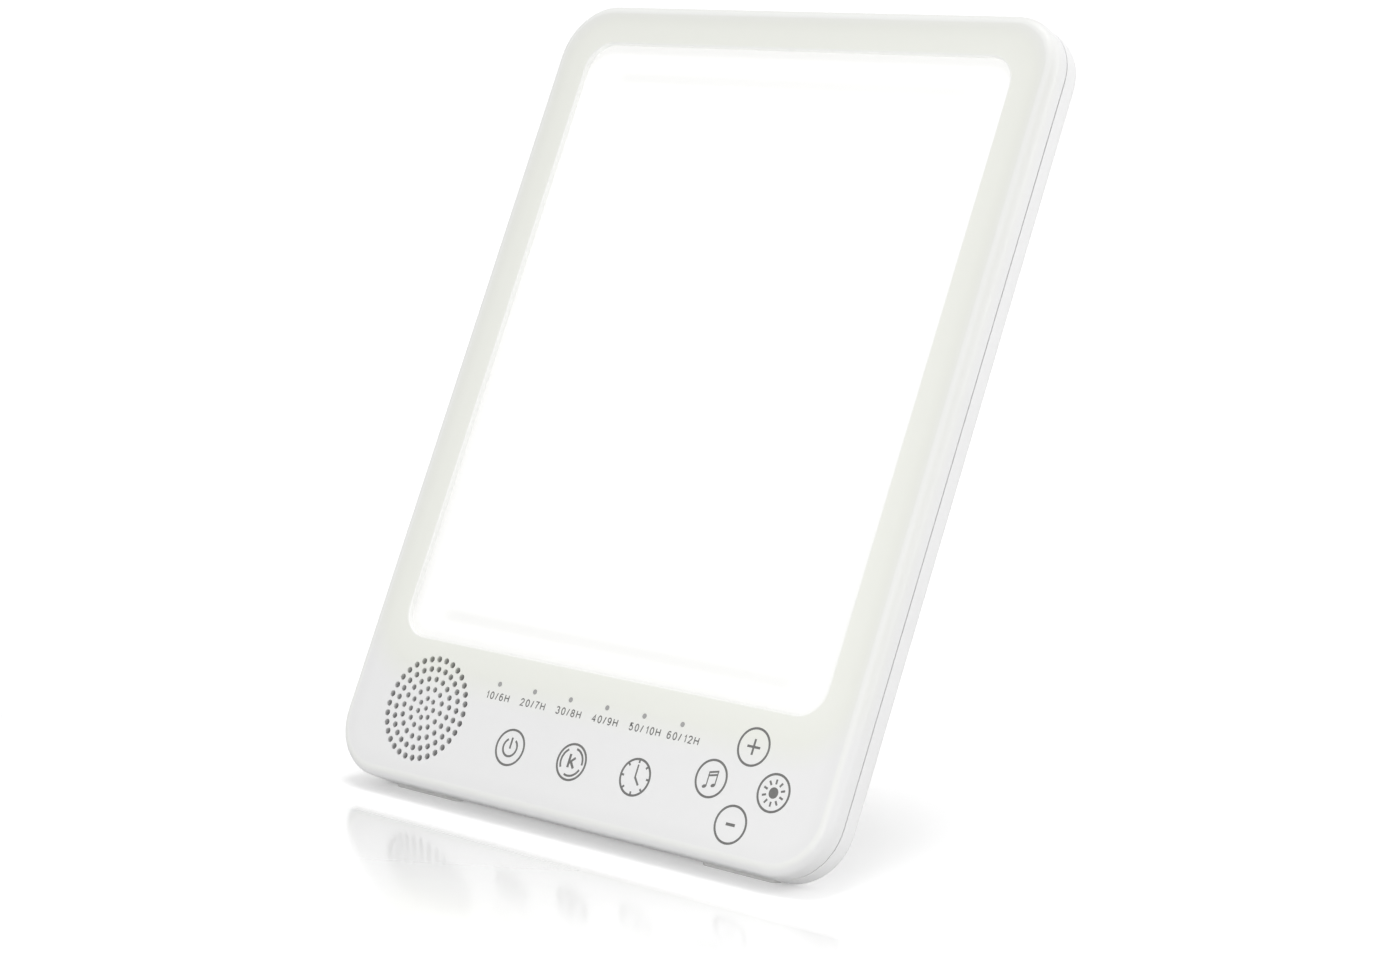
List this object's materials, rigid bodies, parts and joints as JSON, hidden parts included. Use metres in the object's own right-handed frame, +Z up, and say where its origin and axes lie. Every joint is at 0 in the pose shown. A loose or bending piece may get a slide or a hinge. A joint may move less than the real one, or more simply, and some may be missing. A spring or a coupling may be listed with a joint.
{
  "type": "light therapy lamp",
  "caption": "Slim tablet-style light therapy lamp: leaning white case with a rounded lit window, speaker grille, touch keys, timer dots and a fold-out rear stand.",
  "frame": {"origin": "on the surface the lamp stands on, under the middle of its bounding box", "axes": "+Z up, the lit window faces -Y and leans back, +X to the right seen from the front"},
  "size_m": [0.192, 0.1268, 0.2356],
  "materials": {
    "white_abs": "fine satin moulded",
    "opal_acrylic": "satin opal, lit from behind",
    "clear_film": "prismatic film",
    "clear_acrylic": "polished clear",
    "white_sheet": "matt white sheet",
    "aluminium_sheet": "mill finish",
    "led_board": "white solder mask",
    "led": "phosphor face",
    "circuit_board": "green solder mask",
    "chip_black": "moulded epoxy",
    "connector_ivory": "nylon",
    "ferrite": "sintered",
    "capacitor_can": "drawn can",
    "conductive_foam": "foam",
    "light_pipe": "grey tinted clear",
    "cloth": "woven dust cloth",
    "foam_black": "foam",
    "speaker_frame": "black",
    "steel": "zinc plated",
    "copper": "wound wire",
    "paper_black": "pulp paper",
    "rubber_black": "moulded",
    "inlet_black": "moulded",
    "contact": "nickel plated",
    "lead_red": "insulation",
    "foot_rubber": "grey rubber",
    "nylon": "nylon"
  },
  "bodies": {
    "panel": {"front_shell": "white_abs", "rear_cover": "white_abs", "hinge_caps": "white_abs", "diffuser_plate": "opal_acrylic", "diffusing_film": "clear_film", "light_guide": "clear_acrylic", "reflector_sheet": "white_sheet", "back_plate": "aluminium_sheet", "led_board_left": "led_board", "led_board_right": "led_board", "edge_leds_left": "led", "edge_leds_right": "led", "plate_screws": "steel", "touch_pads": "conductive_foam", "touch_board": "circuit_board", "touch_board_screws": "steel", "indicator_pipes": "light_pipe", "indicator_leds": "led", "touch_chip": "chip_black", "touch_connector": "connector_ivory", "main_board": "circuit_board", "main_board_screws": "steel", "main_chips": "chip_black", "power_coils": "ferrite", "capacitors": "capacitor_can", "resistors": "chip_black", "main_connectors": "connector_ivory", "grille_cloth": "cloth", "speaker_gasket": "foam_black", "speaker_basket": "speaker_frame", "speaker_magnet": "ferrite", "speaker_yoke": "steel", "speaker_coil": "copper", "speaker_cone": "paper_black", "speaker_surround": "rubber_black", "speaker_screws": "steel", "speaker_terminals": "contact", "power_inlet": "inlet_black", "inlet_contacts": "contact", "led_leads": "lead_red", "speaker_leads": "lead_red", "inlet_leads": "lead_red", "case_screws": "steel", "rubber_feet": "foot_rubber", "stand_pin": "steel", "stand_washers": "nylon", "hinge_cap_screws": "steel"},
    "stand": {"stand_leg": "white_abs", "stand_foot": "foot_rubber"}
  },
  "joints": [
    {"name": "stand_fold", "type": "hinge", "parent": "panel", "child": "stand", "pos_m": [0, -0.00242, 0.10008], "axis": [-1, 0, 0], "range_deg": [0, 46]}
  ]
}
